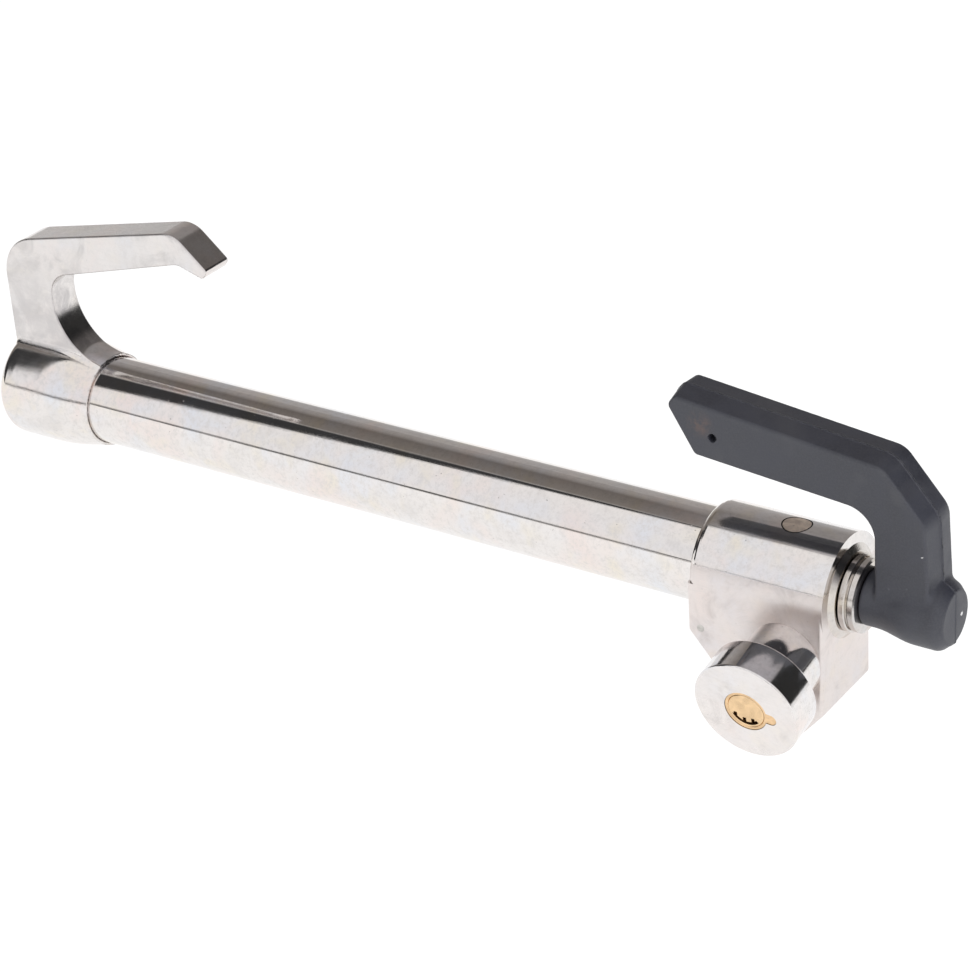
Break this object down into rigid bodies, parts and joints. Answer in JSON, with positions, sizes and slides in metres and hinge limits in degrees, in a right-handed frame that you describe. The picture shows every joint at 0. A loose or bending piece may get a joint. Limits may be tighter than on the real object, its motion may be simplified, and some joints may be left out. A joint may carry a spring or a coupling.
{
  "type": "steering wheel lock",
  "caption": "Telescopic bar lock for a steering wheel: plated tube with a cast hook, keyed lock housing, and a sliding grooved rod with a rubber-covered hook handle.",
  "frame": {"origin": "centre of the end cap's flat closed face, on the tube's axis", "axes": "+X along the tube from the cap to the lock and the handle; +Z the way both hooks rise; -Y the side the key goes in"},
  "size_m": [0.3765, 0.0673, 0.1214],
  "materials": {
    "chrome_casting": "nickel-chrome plated casting, faint blotches and pits",
    "chrome_tube": "nickel-chrome plated drawn tube, polished",
    "chrome_guard": "plated turned collar, fine turning marks",
    "chrome_plug": "plated round plug, duller than the sleeve",
    "chrome_turned": "plated turned bands",
    "chrome_rod": "ground and plated rod",
    "steel_pins": "ground pin ends",
    "plain_steel": "machined steel, oiled",
    "spring_steel": "spring steel, dark",
    "brass": "machined brass",
    "brass_plug": "machined brass, brushed face",
    "grip_rubber": "moulded rubber, semi-matt, dark blue-grey"
  },
  "bodies": {
    "tube": {"hook_cap": "chrome_casting", "outer_tube": "chrome_tube", "lock_housing": "chrome_casting", "rear_cover": "chrome_casting", "housing_pins": "steel_pins", "bore_plug": "chrome_plug", "guide_bush": "chrome_turned", "lock_guard": "chrome_guard", "lock_shell": "brass", "chamber_cover": "brass", "driver_pins": "brass", "pin_springs": "spring_steel", "bolt_spring": "spring_steel"},
    "slider": {"guide_ring": "plain_steel", "rod_snap_ring": "spring_steel"},
    "handle": {"inner_rod": "chrome_rod", "handle_collar": "chrome_turned", "handle_core": "plain_steel", "handle_pin": "plain_steel", "grip_rubber": "grip_rubber"},
    "plug": {"lock_plug": "brass_plug", "key_pins": "brass", "plug_clip": "spring_steel", "lock_crank": "plain_steel"},
    "bolt": {"lock_bolt": "plain_steel"}
  },
  "joints": [
    {"name": "rod_slide", "type": "slide", "parent": "tube", "child": "slider", "axis": [1, 0, 0], "range_m": [0, 0.204]},
    {"name": "handle_swivel", "type": "hinge", "parent": "slider", "child": "handle", "pos_m": [0.2, 0, 0], "axis": [1, 0, 0], "range_deg": [-135, 75]},
    {"name": "plug_turn", "type": "hinge", "parent": "tube", "child": "plug", "pos_m": [0.327, -0.01925, -0.0191], "axis": [0, 0.9816, 0.1908], "range_deg": [0, 90]},
    {"name": "bolt_lift", "type": "slide", "parent": "tube", "child": "bolt", "axis": [0, 0, 1], "range_m": [0, 0.0032], "deforming": ["bolt_spring"]}
  ],
  "couplings": [
    {"joint": "bolt_lift", "follows": "plug_turn", "m_per_rad": 0.0020372}
  ]
}
